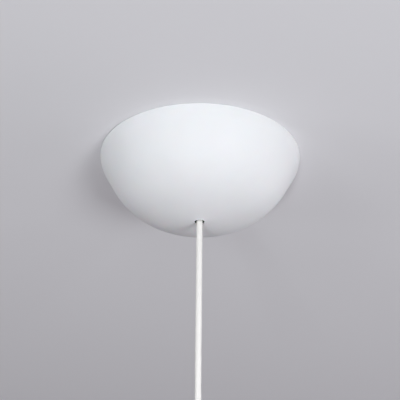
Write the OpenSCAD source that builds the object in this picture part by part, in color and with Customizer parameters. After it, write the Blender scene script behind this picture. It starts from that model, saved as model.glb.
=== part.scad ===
// Electrical ceiling rose. A domed cup slides up a round pendant cord and hides the ceiling
// plate, the cord grip and a three-way terminal block.
// Millimetres. The origin is the centre of the cup's rim on the ceiling, with +Z up, and
// every depth is measured down from the ceiling.

/* [Cup] */
// Outer radius of the cup at the ceiling
cup_r = 100; // [90:1:115]
// Depth of the cup from the ceiling to its lowest point
cup_h = 74; // [70:1:84]
// Wall of the cup
cup_wall = 2.6; // [1.8:0.1:3.4]
// Radius of the arc that turns the wall in below the rim
rim_arc_r = 28.5; // [20:0.5:34]
// Length of the straight flank below that arc
flank_l = 18; // [8:0.5:22]
// Angle of the flank from the vertical
flank_angle = 28.5; // [25:0.5:32]
// Angle at which the shoulder arc hands over to the crown arc
crown_angle = 70; // [64:1:76]
// Rounding of the rim's outer edge
rim_round_r = 0.8; // [0.4:0.1:1.4]
// Height of the stiffening bead inside the rim
rim_bead_h = 3; // [2:0.5:6]
// How far that bead stands in from the wall
rim_bead_w = 1.4; // [0.8:0.1:2.4]
// Radius of the cord hole at the lowest point
hole_r = 4.75; // [4.2:0.05:6]
// Radius of the rounded edge bead round the cord hole
hole_bead_r = 0.6; // [0.3:0.1:1]
// Thickness of the floor round the cord hole
floor_t = 3; // [2.8:0.1:4]
// Wall of the boss that holds the bush
boss_wall = 3; // [2:0.1:4]
// Number of gussets between the boss and the crown
gussets = 6; // [3:1:8]
// Thickness of a gusset
gusset_t = 1.6; // [1:0.1:2.4]
// How far a gusset reaches out from the axis
gusset_reach = 34; // [24:1:40]
// How far a gusset's top lies below the boss's top
gusset_drop = 4; // [2:0.5:8]

/* [Bush] */
// Outer radius of the rubber bush
bush_r = 7.9; // [7:0.1:9]
// Height of the bush
bush_h = 11; // [8:0.5:13]
// Depth of the cone in each end of the bush
bush_cone_h = 3; // [1:0.5:4]
// Radius of the cone's mouth
bush_cone_r = 5.4; // [4:0.1:6]
// Depth of the two grooves round the bush
bush_groove = 0.8; // [0.4:0.1:1.2]
// Thickness of the snap ring over the bush
retainer_t = 2; // [1.4:0.1:3]
// Radius of the snap ring's opening
retainer_hole_r = 4.2; // [3.6:0.1:5]
// How far the snap ring's lugs reach into the boss
lug_reach = 2; // [1:0.1:2.6]
// Width of a lug
lug_w = 5; // [3:0.5:7]
// Height of the boss above the snap ring
boss_rise = 2.4; // [1:0.1:4]

/* [Cord] */
// Radius of the cord's sheath
cord_r = 3; // [2.5:0.1:3.5]
// Radius of an insulated core
core_r = 1.1; // [0.9:0.05:1.3]
// Radius of a crimped core end
ferrule_r = 0.75; // [0.5:0.05:0.9]
// Length of a crimped core end
ferrule_l = 6; // [4:0.5:8]
// How far the cores rise out of the sheath before they turn
core_lift = 13; // [9:0.5:14]
// Straight lead of a core into its terminal
core_lead = 8; // [5:0.5:11]
// Length of the cores below the sheath's lower end
lamp_core_l = 14; // [8:1:20]
// How far those cores spread from the axis
lamp_core_spread = 4.5; // [3:0.5:7]
// Length of the sleeve on the sheath's lower end
end_sleeve_l = 9; // [6:0.5:9.5]
// Wall of that sleeve
end_sleeve_wall = 0.6; // [0.3:0.1:1]

/* [Ceiling plate] */
// Thickness of the plate's steel
plate_t = 1.5; // [1:0.1:2.5]
// How far the plate's floor stands off the ceiling
plate_dish = 3.5; // [3:0.1:6]
// Radius of the dished floor
floor_r = 53; // [52.5:0.5:56]
// Width of the sloping step between the floor and the flange
step_w = 3; // [2:0.5:5]
// Width of the flat brim outside the step
brim_w = 8; // [6:0.5:12]
// Depth of the turned-down lip round the edge
lip_d = 5; // [3:0.5:8]
// Inner radius of the bend into that lip
lip_bend_r = 0.8; // [0.4:0.1:1.4]
// Distance between the two ceiling screw slots
slot_pitch = 84; // [80:1:86]
// Width of a slot
slot_w = 5; // [4:0.1:6]
// End-to-end length of a slot
slot_l = 12; // [9:0.5:13]
// Distance of the cable entry from the axis
entry_y = 33; // [28:1:36]
// Radius of the grommet's opening
grommet_bore_r = 7; // [5:0.1:8]
// Wall of the grommet inside the plate's hole
grommet_wall = 1.8; // [1.2:0.1:2.4]
// Thickness of a grommet flange
grommet_flange_t = 1.2; // [0.8:0.1:1.6]
// How far a grommet flange covers the plate
grommet_flange_w = 2.6; // [1.6:0.1:3.4]

/* [Cord bridge] */
// Outer half width of the bridge across its legs
bridge_half = 24; // [22:0.5:25]
// Thickness of the bridge's steel
bridge_t = 1.5; // [1:0.1:2]
// Width of the strap
bridge_w = 18; // [14:0.5:18]
// Depth of the bridge's lower face
bridge_d = 27; // [24:0.5:28]
// Length of a foot on the plate
foot_l = 10.5; // [9:0.5:11]
// Outer radius of the folds
fold_r = 3; // [2.5:0.1:4]
// Distance between the two rivets of a foot
rivet_pitch = 10; // [8:0.5:11]
// Radius of a rivet's shank
rivet_r = 1.6; // [1.2:0.1:2]
// Radius of a rivet's head
rivet_head_r = 2.9; // [2.4:0.1:3.1]
// Height of a rivet's head
rivet_head_h = 1.2; // [0.8:0.1:1.8]

/* [Cord grip] */
// Radius of the gland's threaded shank
shank_r = 6; // [5.5:0.1:7]
// How far the shank stands above the bridge
shank_rise = 8.5; // [6:0.5:9]
// Width across the flats of the gland's collar
collar_af = 18; // [17:0.5:20]
// Height of the collar
collar_h = 4; // [3:0.5:6]
// Length of the threaded end below the collar
thread_l = 9; // [7:0.5:10]
// Radius of that threaded end
thread_r = 7.5; // [7:0.1:8]
// Running room for the cord in the gland
gland_room = 0.3; // [0.2:0.1:0.6]
// Wall of the rubber sleeve
sleeve_wall = 2; // [1.5:0.1:2.4]
// Length of the rubber sleeve
sleeve_l = 8.5; // [6:0.5:9]
// Height of the locknut
locknut_h = 4; // [3:0.5:5]
// Width across the locknut's flats
locknut_af = 16; // [15:0.5:18]
// Height of the nut's hexagon
nut_hex_h = 7; // [5:0.5:8]
// Height of the domed end below it
nut_dome_h = 6; // [4:0.5:7]
// Gap between the collar and the nut
nut_gap = 1; // [0.5:0.1:1.5]
// Angle of the bevel on the corners of a hexagon
hex_bevel_angle = 30; // [20:1:35]

/* [Terminal block] */
// Distance of the block's centre from the axis
block_y = 28; // [27:0.5:30]
// Distance between neighbouring poles
pole_pitch = 9.5; // [9:0.1:10.5]
// Outside width of a brass terminal
terminal_w = 5.2; // [5:0.1:6]
// Length of a brass terminal
terminal_l = 13; // [11:0.5:14]
// Width of the square window through a terminal
window_w = 3; // [2.8:0.1:3.4]
// End walls of the housing
housing_wall = 2; // [1.4:0.1:2.5]
// Height of the housing
housing_h = 13; // [12:0.5:15]
// Depth of the terminals' centres below the plate
terminal_drop = 6; // [5:0.1:6.5]
// Length of a round-ended fixing ear at each end
ear_l = 8.5; // [8:0.5:9.5]
// Height of an ear
ear_h = 4; // [3:0.5:5]
// Width of an ear
ear_w = 9; // [8:0.5:11]
// Width of the notches between the poles
notch_w = 1.6; // [1:0.1:2.2]
// Depth of those notches
notch_d = 4.5; // [3:0.5:6]
// Distance between the two screws of a terminal
screw_pitch = 7; // [6:0.5:8]
// Radius of a terminal screw's shank
screw_r = 1.3; // [1:0.05:1.5]
// Radius of a terminal screw's head
screw_head_r = 2; // [1.7:0.05:2.1]
// Height of a terminal screw's head
screw_head_h = 1.8; // [1.2:0.1:2.4]
// Radius of a housing screw's shank
ear_screw_r = 1.5; // [1.2:0.1:1.8]
// Radius of a housing screw's head
ear_head_r = 2.8; // [2.4:0.1:3.1]
// Height of a housing screw's head
ear_head_h = 1.8; // [1.2:0.1:2.4]

/* [Earth connection] */
// Distance of the earth screw from the axis, to the right
earth_x = 31; // [30:0.5:33]
// Distance of the earth screw from the axis, to the front
earth_y = 33; // [31:0.5:34]
// Radius of the earth screw's shank
earth_screw_r = 2; // [1.6:0.1:2.5]
// Radius of the earth screw's head
earth_head_r = 3.6; // [3.2:0.1:4.2]
// Height of the earth screw's head
earth_head_h = 2.2; // [1.5:0.1:3]
// Radius of the washer
washer_r = 4; // [3.6:0.1:4.6]
// Thickness of the washer
washer_t = 0.8; // [0.5:0.1:1.2]
// Radius of the lug's ring
lug_ring_r = 4.4; // [4:0.1:5]
// Thickness of the lug
lug_t = 0.8; // [0.6:0.1:1.2]
// Length of the lug's crimped barrel
crimp_l = 5; // [4:0.5:6]
// Wall of the crimped barrel
crimp_wall = 0.6; // [0.5:0.1:0.8]

/* [Fits] */
// Clearance between pieces that fit into each other
fit_gap = 0.1; // [0.05:0.01:0.15]
// Running clearance of the bush on the cord
cord_gap = 0.05; // [0.03:0.01:0.1]
// Clearance of a shank in its hole
hole_gap = 0.15; // [0.1:0.05:0.3]
// Slot width of a screw head
drive_w = 0.8; // [0.6:0.1:1]

/* [Hidden] */
$fn = 96;
// Overrun of every cut past the face it opens
over = 1;
// Points along one arc of an outline
arc_steps = 12;
// Sides of a swept core and of the swept cord
core_sides = 8;
cord_sides = 12;
// Points along a swept core
core_steps = 14;
// Points along the foot of a gusset
gusset_steps = 6;
// Lugs round the snap ring
lugs = 3;
// Angles of the live, earth and neutral cores round the sheath
core_angles = [150, 270, 30];
// How far down a screw or rivet head stays upright, and how wide its face is
head_side_share = 0.55;
head_face_share = 0.72;
// How wide the round end face of a hexagon is, across its flats
hex_face_share = 0.95;
// Where the bush's two grooves start and end over its height, low end first
groove_shares = [[0.2, 0.28, 0.36, 0.44], [0.56, 0.64, 0.72, 0.8]];
// How deep the earth link sits in the lug, and how far it leads out of either end
link_seat_share = 0.8;
link_lead_share = 1.45;

// The cord's route, straight down from inside the gland to just below the lamp end
cord_route = [
    [0, 0, -18], [0, 0, -32], [0, 0, -48], [0, 0, -64], [0, 0, -80], [0, 0, -96],
    [0, 0, -112], [0, 0, -128], [0, 0, -144], [0, 0, -160], [0, 0, -176], [0, 0, -192],
    [0, 0, -208], [0, 0, -224], [0, 0, -240], [0, 0, -256], [0, 0, -275]
];
cord_top = cord_route[0];
cord_end = cord_route[len(cord_route) - 1];

// The cup's section is one tangent chain: rim arc, straight flank, shoulder arc, crown arc.
// The chain closes on the cup's radius and depth, which gives the last two radii.
chain_r = cup_r - rim_arc_r * (1 - cos(flank_angle)) - flank_l * sin(flank_angle);
chain_h = cup_h - rim_arc_r * sin(flank_angle) - flank_l * cos(flank_angle);
turn_r = cos(flank_angle) - cos(crown_angle);
turn_h = sin(crown_angle) - sin(flank_angle);
chain_det = turn_r * (1 - sin(crown_angle)) - cos(crown_angle) * turn_h;
shoulder_arc_r = (chain_r * (1 - sin(crown_angle)) - chain_h * cos(crown_angle)) / chain_det;
crown_arc_r = (chain_h * turn_r - chain_r * turn_h) / chain_det;
shoulder_centre = [
    chain_r - shoulder_arc_r * cos(flank_angle),
    cup_h - chain_h - shoulder_arc_r * sin(flank_angle)
];

// Depths inside the cup
floor_d = cup_h - floor_t;
bush_top_d = floor_d - bush_h;
boss_r = bush_r + fit_gap + boss_wall;
boss_top_d = bush_top_d - retainer_t - fit_gap - boss_rise;

// Faces of the plate and what hangs under it
plate_r = floor_r + step_w + brim_w;
plate_face = plate_dish + plate_t;
slot_end_r = slot_w / 2;
bridge_in = bridge_d - bridge_t;
rivet_x = bridge_half + foot_l / 2 + fold_r / 4;
collar_d = bridge_d + collar_h;
thread_d = collar_d + thread_l;
seat_r = cord_r + cord_gap + sleeve_wall;
seat_d = thread_d - sleeve_l + nut_gap;
nut_d = collar_d + nut_gap;
dome_d = nut_d + nut_hex_h;

// The terminal block
poles = 3;
terminal_d = plate_face + terminal_drop;
housing_d = plate_face + housing_h;
housing_w = poles * pole_pitch + housing_wall;
housing_l = terminal_l + 2 * (fit_gap + housing_wall);
ear_x = housing_w / 2 + ear_l - ear_w / 2;
clamp_d = terminal_d + ferrule_r + cord_gap;
screw_head_d = terminal_d + terminal_w / 2 + fit_gap;
ferrule_y = -block_y + housing_l / 2 - housing_wall;

// The earth stack hangs under the plate
lug_angle = 225;
washer_d = plate_face + lug_t;
earth_head_d = washer_d + washer_t;
lug_barrel_r = core_r + crimp_wall;
lug_barrel_at = lug_ring_r + lug_barrel_r / 2;
lug_wire_d = plate_face + lug_barrel_r;

// Where the three cores sit inside the sheath, on a circle
core_circle_r = core_r * 2 / sqrt(3) + cord_gap;

function arc(centre, r, a0, a1) =
    [for (i = [0:arc_steps]) let (a = a0 + (a1 - a0) * i / arc_steps)
        centre + r * [cos(a), sin(a)]];

// The cup's section at a given distance inside its outer face, from the rim to the axis
function cup_line(inset) = concat(
    arc([cup_r - rim_arc_r, 0], rim_arc_r - inset, 0, flank_angle),
    arc(shoulder_centre, shoulder_arc_r - inset, flank_angle, crown_angle),
    arc([0, cup_h - crown_arc_r], crown_arc_r - inset, crown_angle, 90)
);

// Depth of the crown at a radius, at a given distance inside its outer face
function crown_depth(x, inset) =
    cup_h - crown_arc_r + sqrt(pow(crown_arc_r - inset, 2) - x * x);

function unit(v) = v / norm(v);

function bezier(a, b, c, d) =
    [for (i = [0:core_steps]) let (t = i / core_steps, s = 1 - t)
        s * s * s * a + 3 * s * s * t * b + 3 * s * t * t * c + t * t * t * d];

// Direction of that curve at the same points
function bezier_way(a, b, c, d) =
    [for (i = [0:core_steps]) let (t = i / core_steps, s = 1 - t)
        unit(s * s * (b - a) + 2 * s * t * (c - b) + t * t * (d - c))];

function reversed(list) = [for (i = [len(list) - 1:-1:0]) list[i]];

function mirrored(list) = [for (p = reversed(list)) [-p[0], p[1]]];

function pole_x(i) = (i - (poles - 1) / 2) * pole_pitch;

function core_way(i) = [cos(core_angles[i]), sin(core_angles[i]), 0];

// Half the outline of a screw or rivet head that hangs below a depth
function head_line(r, d, h) =
    [[r, d], [r, d + h * head_side_share], [r * head_face_share, d + h], [0, d + h]];

// Sweeps a round bar along a path, with the direction at each point and one that is never met
module sweep(path, ways, r, sides, ref) {
    last = len(path) - 1;
    points = [for (i = [0:last])
        let (u = unit(cross(ways[i], ref)), v = cross(ways[i], u))
        for (k = [0:sides - 1])
            path[i] + r * (cos(360 * k / sides) * u + sin(360 * k / sides) * v)];
    side_faces = [for (i = [0:last - 1], k = [0:sides - 1])
        let (a = i * sides + k, b = i * sides + (k + 1) % sides)
        each [[a, a + sides, b + sides], [a, b + sides, b]]];
    start_face = [for (k = [0:sides - 1]) k];
    end_face = [for (k = [sides - 1:-1:0]) last * sides + k];
    polyhedron(points, concat([start_face], side_faces, [end_face]));
}

// Sweeps an insulated core along the curve that four points give
module core_sweep(a, b, c, d, ref) {
    sweep(bezier(a, b, c, d), bezier_way(a, b, c, d), core_r, core_sides, ref);
}

// Revolves an outline given as [radius, depth] points
module turned(outline) {
    rotate_extrude() polygon([for (p = outline) [p[0], -p[1]]]);
}

// A straight hole or shank between two depths
module post(r, top_d, low_d) {
    translate([0, 0, -low_d]) cylinder(r = r, h = low_d - top_d);
}

// A hexagon of a width across its flats, with its corners bevelled at both ends
module hex_post(af, top_d, low_d) {
    corner_r = af / sqrt(3);
    face_r = af / 2 * hex_face_share;
    bevel_h = (corner_r - face_r) * tan(hex_bevel_angle);
    intersection() {
        translate([0, 0, -low_d]) cylinder(r = corner_r, h = low_d - top_d, $fn = 6);
        turned([
            [0, top_d], [face_r, top_d], [corner_r, top_d + bevel_h],
            [corner_r, low_d - bevel_h], [face_r, low_d], [0, low_d]
        ]);
    }
}

// A slotted screw whose head hangs below its shank
module slotted_screw(r, tip_d, head_r, head_d, head_h) {
    difference() {
        union() {
            post(r, tip_d, head_d + head_h / 2);
            turned(concat([[0, head_d]], head_line(head_r, head_d, head_h)));
        }
        translate([0, 0, -head_d - head_h])
            cube([2 * head_r + over, drive_w, head_h], center = true);
    }
}

// Cup

module gusset() {
    inner = boss_r - boss_wall / 2;
    foot = [for (i = [0:gusset_steps])
        let (x = inner + (gusset_reach - inner) * i / gusset_steps)
        [x, crown_depth(x, cup_wall / 2)]];
    outline = concat([[inner, boss_top_d + gusset_drop]], reversed(foot));
    rotate([90, 0, 0]) translate([0, 0, -gusset_t / 2]) linear_extrude(gusset_t)
        polygon([for (p = outline) [p[0], -p[1]]]);
}

module at_lugs() {
    for (i = [0:lugs - 1]) rotate(90 + 360 * i / lugs) children();
}

module lug_windows(gap) {
    at_lugs()
        translate([boss_r - boss_wall - lug_reach, -lug_w / 2 - gap, -bush_top_d - gap])
            cube([2 * lug_reach + fit_gap + gap, lug_w + 2 * gap, retainer_t + 2 * gap]);
}

module rim_bead() {
    root_r = cup_r - cup_wall / 2;
    wall_r = cup_r - cup_wall;
    turned([
        [root_r, 0], [root_r, rim_bead_h + rim_bead_w], [wall_r, rim_bead_h + rim_bead_w],
        [wall_r - rim_bead_w, rim_bead_h], [wall_r - rim_bead_w, 0]
    ]);
}

module rim_edge_cut() {
    rotate_extrude() translate([cup_r - rim_round_r, -rim_round_r]) difference() {
        square(rim_round_r + over);
        circle(rim_round_r, $fn = 24);
    }
}

module cup() color([0.94, 0.95, 0.96]) {
    difference() {
        union() {
            turned(concat(cup_line(0), reversed(cup_line(cup_wall))));
            rim_bead();
            post(boss_r, boss_top_d, crown_depth(boss_r, cup_wall / 2));
            for (i = [0:gussets - 1]) rotate(360 * i / gussets) gusset();
            translate([0, 0, -crown_depth(hole_r, hole_bead_r / 2)])
                rotate_extrude() translate([hole_r + hole_bead_r, 0]) circle(hole_bead_r, $fn = 24);
        }
        post(hole_r, floor_d - over, cup_h + over);
        post(bush_r + fit_gap, boss_top_d - over, floor_d);
        lug_windows(fit_gap);
        rim_edge_cut();
    }
}

// Bush and snap ring

module cord_grip_bush() color([0.16, 0.16, 0.17]) {
    bore = cord_r + cord_gap;
    neck = bush_r - bush_groove;
    grooves = [for (g = groove_shares, k = [0:3])
        [k == 1 || k == 2 ? neck : bush_r, floor_d - bush_h * g[k]]];
    turned(concat(
        [[bush_cone_r, floor_d], [bush_r, floor_d]], grooves,
        [[bush_r, bush_top_d], [bush_cone_r, bush_top_d],
         [bore, bush_top_d + bush_cone_h], [bore, floor_d - bush_cone_h]]
    ));
}

module bush_retainer() color([0.88, 0.88, 0.86]) {
    difference() {
        union() {
            post(bush_r, bush_top_d - retainer_t, bush_top_d);
            at_lugs()
                translate([bush_r - lug_reach, -lug_w / 2, -bush_top_d])
                    cube([2 * lug_reach, lug_w, retainer_t]);
        }
        post(retainer_hole_r, bush_top_d - retainer_t - over, bush_top_d + over);
    }
}

// Ceiling plate

module slot_cut() {
    half = slot_l / 2 - slot_end_r;
    translate([0, 0, -plate_face - over]) linear_extrude(plate_face + 2 * over) {
        for (s = [-1, 1]) translate([s * half, 0]) circle(slot_end_r);
        square([2 * half, slot_w], center = true);
    }
}

module ceiling_plate() color([0.72, 0.73, 0.75]) {
    rise = floor_r + step_w;
    bend_r = lip_bend_r + plate_t;
    bend = [plate_r - bend_r, bend_r];
    difference() {
        turned(concat(
            [[0, plate_dish], [floor_r, plate_dish], [rise, 0]],
            arc(bend, bend_r, -90, 0),
            [[plate_r, lip_d], [plate_r - plate_t, lip_d]],
            arc(bend, lip_bend_r, 0, -90),
            [[rise + plate_t / 2, plate_t], [floor_r + plate_t / 2, plate_face],
             [0, plate_face]]
        ));
        for (s = [-1, 1]) translate([s * slot_pitch / 2, 0, 0]) slot_cut();
        translate([0, entry_y, 0])
            post(grommet_bore_r + grommet_wall + fit_gap, -over, plate_face + over);
        at_rivets() post(rivet_r + hole_gap, -over, plate_face + over);
        at_ears() post(ear_screw_r + hole_gap, -over, plate_face + over);
        translate([earth_x, -earth_y, 0])
            post(earth_screw_r + hole_gap, -over, plate_face + over);
    }
}

module supply_grommet() color([0.2, 0.2, 0.21]) {
    seat = grommet_bore_r + grommet_wall;
    wide = seat + grommet_flange_w;
    translate([0, entry_y, 0]) turned([
        [grommet_bore_r, plate_dish - grommet_flange_t],
        [wide - grommet_flange_t, plate_dish - grommet_flange_t],
        [wide, plate_dish], [seat, plate_dish], [seat, plate_face], [wide, plate_face],
        [wide - grommet_flange_t, plate_face + grommet_flange_t],
        [grommet_bore_r, plate_face + grommet_flange_t]
    ]);
}

// Cord bridge

module at_rivets() {
    for (x = [-rivet_x, rivet_x], y = [-rivet_pitch / 2, rivet_pitch / 2])
        translate([x, y, 0]) children();
}

module cord_bridge() color([0.78, 0.78, 0.76]) {
    in_r = fold_r - bridge_t;
    foot_d = plate_face + bridge_t;
    leg_in = bridge_half - bridge_t;
    outer = concat(
        [[0, bridge_d]],
        arc([bridge_half - fold_r, bridge_d - fold_r], fold_r, 90, 0),
        arc([bridge_half + in_r, foot_d + in_r], in_r, 180, 270),
        [[bridge_half + foot_l, foot_d]]
    );
    inner = concat(
        [[bridge_half + foot_l, plate_face]],
        arc([leg_in + fold_r, plate_face + fold_r], fold_r, 270, 180),
        arc([leg_in - in_r, bridge_in - in_r], in_r, 0, 90),
        [[0, bridge_in]]
    );
    half = concat(outer, inner);
    outline = concat(half, mirrored([for (i = [1:len(half) - 2]) half[i]]));
    difference() {
        rotate([90, 0, 0]) translate([0, 0, -bridge_w / 2]) linear_extrude(bridge_w)
            polygon([for (p = outline) [p[0], -p[1]]]);
        post(shank_r + fit_gap, bridge_in - over, bridge_d + over);
        at_rivets() post(rivet_r + hole_gap, plate_face - over, foot_d + over);
    }
}

module bridge_rivets() color([0.8, 0.8, 0.8]) {
    low = plate_face + bridge_t;
    tail_d = plate_dish - rivet_head_h / 2;
    at_rivets() turned(concat(
        [[0, tail_d], [rivet_head_r * head_face_share, tail_d],
         [rivet_head_r, plate_dish], [rivet_r, plate_dish], [rivet_r, low]],
        head_line(rivet_head_r, low, rivet_head_h)
    ));
}

// Cord grip

module gland_body() color([0.9, 0.9, 0.88]) {
    difference() {
        union() {
            post(shank_r, bridge_in - shank_rise, bridge_d + collar_h / 2);
            hex_post(collar_af, bridge_d, collar_d);
            post(thread_r, collar_d - collar_h / 2, thread_d);
        }
        post(cord_r + gland_room, bridge_in - shank_rise - over, thread_d);
        post(seat_r + fit_gap, seat_d, thread_d + over);
    }
}

module gland_locknut() color([0.86, 0.86, 0.84]) {
    difference() {
        hex_post(locknut_af, bridge_in - locknut_h, bridge_in);
        post(shank_r + fit_gap, bridge_in - locknut_h - over, bridge_in + over);
    }
}

module gland_sleeve() color([0.25, 0.25, 0.26]) {
    bore = cord_r + cord_gap;
    low = seat_d + sleeve_l;
    turned([
        [bore, seat_d], [seat_r, seat_d], [seat_r, low - sleeve_wall / 2],
        [seat_r - sleeve_wall / 2, low], [bore, low]
    ]);
}

module gland_nut() color([0.9, 0.9, 0.88]) {
    skin_r = thread_r + nut_gap + fit_gap;
    inside_d = max(seat_d + sleeve_l, thread_d) + fit_gap;
    low = dome_d + nut_dome_h;
    difference() {
        union() {
            hex_post(collar_af, nut_d, dome_d);
            turned(concat(
                [[0, dome_d - nut_gap], [skin_r, dome_d - nut_gap]],
                arc([skin_r - nut_dome_h / 2, low - nut_dome_h / 2], nut_dome_h / 2, 0, 90),
                [[0, low]]
            ));
        }
        post(thread_r + fit_gap, nut_d - over, inside_d);
        post(cord_r + gland_room, nut_d, low + over);
    }
}

// Terminal block

module at_poles() {
    for (i = [0:poles - 1]) translate([pole_x(i), -block_y, 0]) children();
}

module at_ears() {
    for (s = [-1, 1]) translate([s * ear_x, -block_y, 0]) children();
}

module at_terminal_screws() {
    at_poles() for (s = [-1, 1]) translate([0, s * screw_pitch / 2, 0]) children();
}

// A block of a width, length and height, centred, with its top at a depth
module bar(w, l, h, top_d) {
    translate([-w / 2, -l / 2, -top_d - h]) cube([w, l, h]);
}

module terminal_housing() color([0.93, 0.92, 0.88]) {
    room_w = terminal_w + 2 * fit_gap;
    difference() {
        union() {
            translate([0, -block_y, 0]) {
                bar(housing_w, housing_l, housing_h, plate_face);
                bar(2 * ear_x, ear_w, ear_h, plate_face);
            }
            at_ears() post(ear_w / 2, plate_face, plate_face + ear_h);
        }
        at_poles() {
            bar(room_w, terminal_l + 2 * fit_gap, room_w, terminal_d - room_w / 2);
            bar(window_w + 2 * fit_gap, housing_l + over, window_w + 2 * fit_gap,
                terminal_d - window_w / 2 - fit_gap);
        }
        at_terminal_screws() post(screw_head_r + hole_gap, terminal_d, housing_d + over);
        for (s = [-1, 1]) translate([s * pole_pitch / 2, -block_y, 0])
            bar(notch_w, housing_l + over, notch_d + over, housing_d - notch_d);
        at_ears() post(ear_screw_r + hole_gap, plate_face - over, plate_face + ear_h + over);
    }
}

module terminal(i) {
    color([0.8, 0.65, 0.3]) difference() {
        translate([pole_x(i), -block_y, 0]) difference() {
            bar(terminal_w, terminal_l, terminal_w, terminal_d - terminal_w / 2);
            bar(window_w, terminal_l + over, window_w, terminal_d - window_w / 2);
        }
        at_terminal_screws() post(screw_r + cord_gap, terminal_d, terminal_d + terminal_w);
    }
}

module live_terminal() terminal(0);
module earth_terminal() terminal(1);
module neutral_terminal() terminal(2);

module terminal_screws() color([0.75, 0.75, 0.77]) {
    at_terminal_screws()
        slotted_screw(screw_r, clamp_d, screw_head_r, screw_head_d, screw_head_h);
}

module housing_screws() color([0.75, 0.75, 0.77]) {
    at_ears() slotted_screw(
        ear_screw_r, plate_dish - plate_t / 2, ear_head_r, plate_face + ear_h, ear_head_h);
}

// Earth connection

module earth_screw() color([0.8, 0.65, 0.3]) {
    translate([earth_x, -earth_y, 0]) slotted_screw(
        earth_screw_r, plate_dish - plate_t / 2, earth_head_r, earth_head_d, earth_head_h);
}

module earth_washer() color([0.75, 0.75, 0.77]) {
    translate([earth_x, -earth_y, 0]) difference() {
        post(washer_r, washer_d, earth_head_d);
        post(earth_screw_r + fit_gap, washer_d - over, earth_head_d + over);
    }
}

module earth_lug() color([0.78, 0.78, 0.8]) {
    translate([earth_x, -earth_y, 0]) difference() {
        union() {
            post(lug_ring_r, plate_face, washer_d);
            rotate(lug_angle) translate([0, 0, -washer_d])
                translate([0, -lug_barrel_r, 0])
                    cube([lug_barrel_at + lug_barrel_r, 2 * lug_barrel_r, lug_t]);
            rotate(lug_angle) translate([lug_barrel_at, 0, -lug_wire_d])
                rotate([0, 90, 0]) cylinder(r = lug_barrel_r, h = crimp_l);
        }
        post(earth_screw_r + fit_gap, plate_face - over, washer_d + over);
        post(washer_r + fit_gap, washer_d, earth_head_d + lug_barrel_r);
        rotate(lug_angle) translate([lug_barrel_at + crimp_l / 2, 0, -lug_wire_d])
            rotate([0, 90, 0]) cylinder(r = core_r + fit_gap, h = crimp_l);
    }
}

module earth_link() color([0.5, 0.65, 0.2]) {
    way = [cos(lug_angle), sin(lug_angle), 0];
    lug_mouth = [earth_x, -earth_y, -lug_wire_d] + (lug_barrel_at + crimp_l * link_seat_share) * way;
    pole_mouth = [0, -block_y - housing_l / 2 + housing_wall, -terminal_d];
    core_sweep(
        pole_mouth, pole_mouth - [0, core_lead * link_lead_share, 0],
        lug_mouth + core_lead * link_lead_share * way, lug_mouth, [0, 0, 1]
    );
}

// Cores

module supply_core(i) {
    start = cord_top + core_circle_r * core_way(i);
    end = [pole_x(i), ferrule_y, -terminal_d];
    core_sweep(start, start + [0, 0, core_lift], end + [0, core_lead, 0], end, [1, 0, 0]);
}

module brown_core() color([0.42, 0.24, 0.12]) supply_core(0);
module earth_core() color([0.5, 0.65, 0.2]) supply_core(1);
module blue_core() color([0.15, 0.35, 0.7]) supply_core(2);

module core_ferrules() color([0.78, 0.78, 0.8]) {
    for (i = [0:poles - 1]) translate([pole_x(i), ferrule_y, -terminal_d])
        rotate([90, 0, 0]) cylinder(r = ferrule_r, h = ferrule_l);
}

// Cord

module cord() color([0.93, 0.93, 0.92]) {
    sweep(cord_route, [for (p = cord_route) [0, 0, -1]], cord_r, cord_sides, [1, 0, 0]);
}

module cord_end_sleeve() color([0.9, 0.9, 0.88]) {
    bore = cord_r + cord_gap;
    translate([0, 0, cord_end[2]]) difference() {
        cylinder(r = bore + end_sleeve_wall, h = end_sleeve_l);
        translate([0, 0, -over]) cylinder(r = bore, h = end_sleeve_l + 2 * over);
    }
}

function lamp_tip(i) = cord_end + lamp_core_spread * core_way(i) - [0, 0, lamp_core_l];

module lamp_core(i) {
    start = cord_end + core_circle_r * core_way(i);
    drop = [0, 0, lamp_core_l / 3];
    core_sweep(start, start - drop, lamp_tip(i) + drop, lamp_tip(i), [1, 0, 0]);
}

module lamp_end_brown() color([0.42, 0.24, 0.12]) lamp_core(0);
module lamp_end_earth() color([0.5, 0.65, 0.2]) lamp_core(1);
module lamp_end_blue() color([0.15, 0.35, 0.7]) lamp_core(2);

module lamp_end_ferrules() color([0.78, 0.78, 0.8]) {
    for (i = [0:poles - 1]) translate(lamp_tip(i) - [0, 0, ferrule_l])
        cylinder(r = ferrule_r, h = ferrule_l);
}

cup();
cord_grip_bush();
bush_retainer();
ceiling_plate();
supply_grommet();
cord_bridge();
bridge_rivets();
gland_body();
gland_locknut();
gland_sleeve();
gland_nut();
terminal_housing();
live_terminal();
earth_terminal();
neutral_terminal();
terminal_screws();
housing_screws();
earth_screw();
earth_washer();
earth_lug();
earth_link();
brown_core();
blue_core();
earth_core();
core_ferrules();
cord();
cord_end_sleeve();
lamp_end_brown();
lamp_end_blue();
lamp_end_earth();
lamp_end_ferrules();
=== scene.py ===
"""The finish of an electrical ceiling rose: a white moulded cup on a pendant cord.

Everything is in metres, with the origin at the centre of the cup's rim on the ceiling and +Z up.
"""

import math

import bmesh
import bpy
from mathutils import Matrix, Vector


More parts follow.
